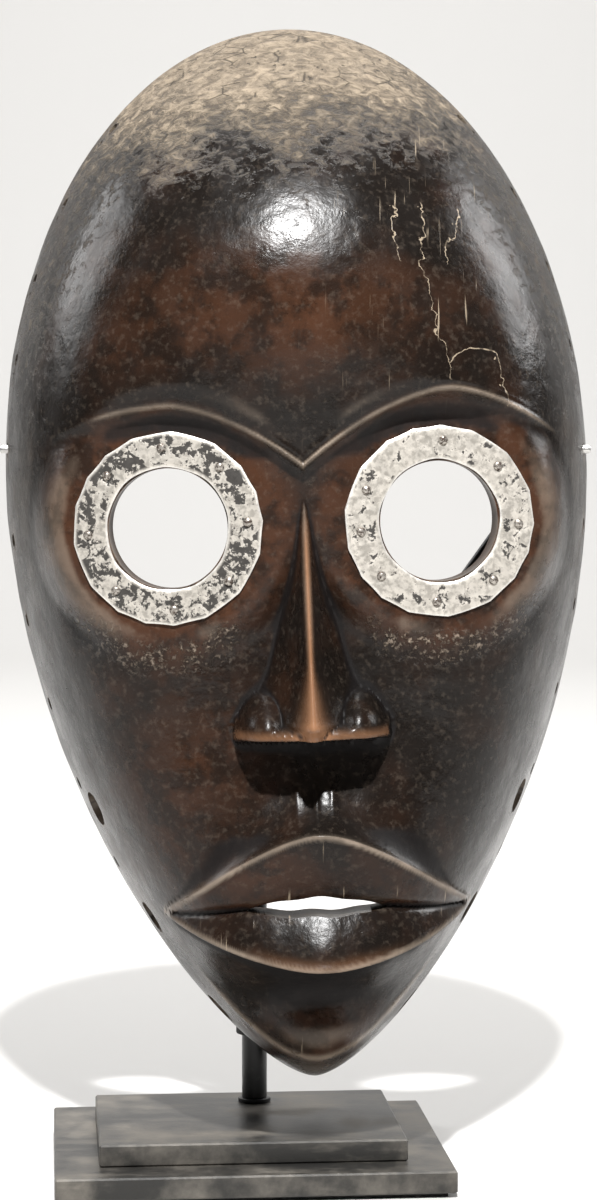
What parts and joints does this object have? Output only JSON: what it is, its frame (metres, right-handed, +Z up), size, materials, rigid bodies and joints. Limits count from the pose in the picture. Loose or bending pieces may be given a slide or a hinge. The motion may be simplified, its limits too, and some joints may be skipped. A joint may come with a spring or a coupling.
{
  "type": "mask on stand",
  "caption": "Carved oval wooden face mask with metal rings round its open eyes, hung by pins on a stepped metal stand so that it turns and tilts.",
  "frame": {"origin": "centre of the underside of the rubber pad under the base", "axes": "+Z up the post, -Y the way the mask's face looks, +X to the right of a person looking at the face"},
  "size_m": [0.14, 0.097, 0.2681],
  "materials": {
    "dark_wood": "dark polished patina, dusty and rough on the crown",
    "tarnished_sheet": "pale sheet metal with black tarnish",
    "nail_iron": "dull",
    "black_steel": "matt dark grey, scuffed",
    "bright_steel": "satin",
    "black_rubber": "matt black rubber"
  },
  "bodies": {
    "base": {"base_lower_tier": "black_steel", "base_pad": "black_rubber", "base_screw_1": "bright_steel", "base_screw_2": "bright_steel", "base_screw_3": "bright_steel", "base_screw_4": "bright_steel", "base_upper_tier": "black_steel", "post_collar": "black_steel"},
    "armature": {"arm_hub": "black_steel", "arm_left": "black_steel", "arm_right": "black_steel", "chin_sleeve": "black_rubber", "post": "black_steel", "post_nut": "bright_steel", "post_washer": "bright_steel"},
    "left_pin": {"pin_left": "bright_steel"},
    "right_pin": {"pin_right": "bright_steel"},
    "mask": {"eye_ring_left": "tarnished_sheet", "eye_ring_right": "tarnished_sheet", "mask_shell": "dark_wood", "ring_nail_left_1": "nail_iron", "ring_nail_left_2": "nail_iron", "ring_nail_left_3": "nail_iron", "ring_nail_left_4": "nail_iron", "ring_nail_left_5": "nail_iron", "ring_nail_left_6": "nail_iron", "ring_nail_left_7": "nail_iron", "ring_nail_left_8": "nail_iron", "ring_nail_right_1": "nail_iron", "ring_nail_right_2": "nail_iron", "ring_nail_right_3": "nail_iron", "ring_nail_right_4": "nail_iron", "ring_nail_right_5": "nail_iron", "ring_nail_right_6": "nail_iron", "ring_nail_right_7": "nail_iron", "ring_nail_right_8": "nail_iron"}
  },
  "joints": [
    {"name": "post_swivel", "type": "hinge", "parent": "base", "child": "armature", "pos_m": [0.00159, 0.0162, 0.011], "axis": [0, 0, 1], "continuous": true},
    {"name": "mask_tilt", "type": "hinge", "parent": "armature", "child": "mask", "pos_m": [0.012, 0.0058, 0.1679], "axis": [-1, 0, 0], "range_deg": [0, 30]},
    {"name": "left_pin_slide", "type": "slide", "parent": "armature", "child": "left_pin", "axis": [1, 0, 0], "range_m": [0, 0.01]},
    {"name": "right_pin_slide", "type": "slide", "parent": "armature", "child": "right_pin", "axis": [-1, 0, 0], "range_m": [0, 0.01]}
  ]
}
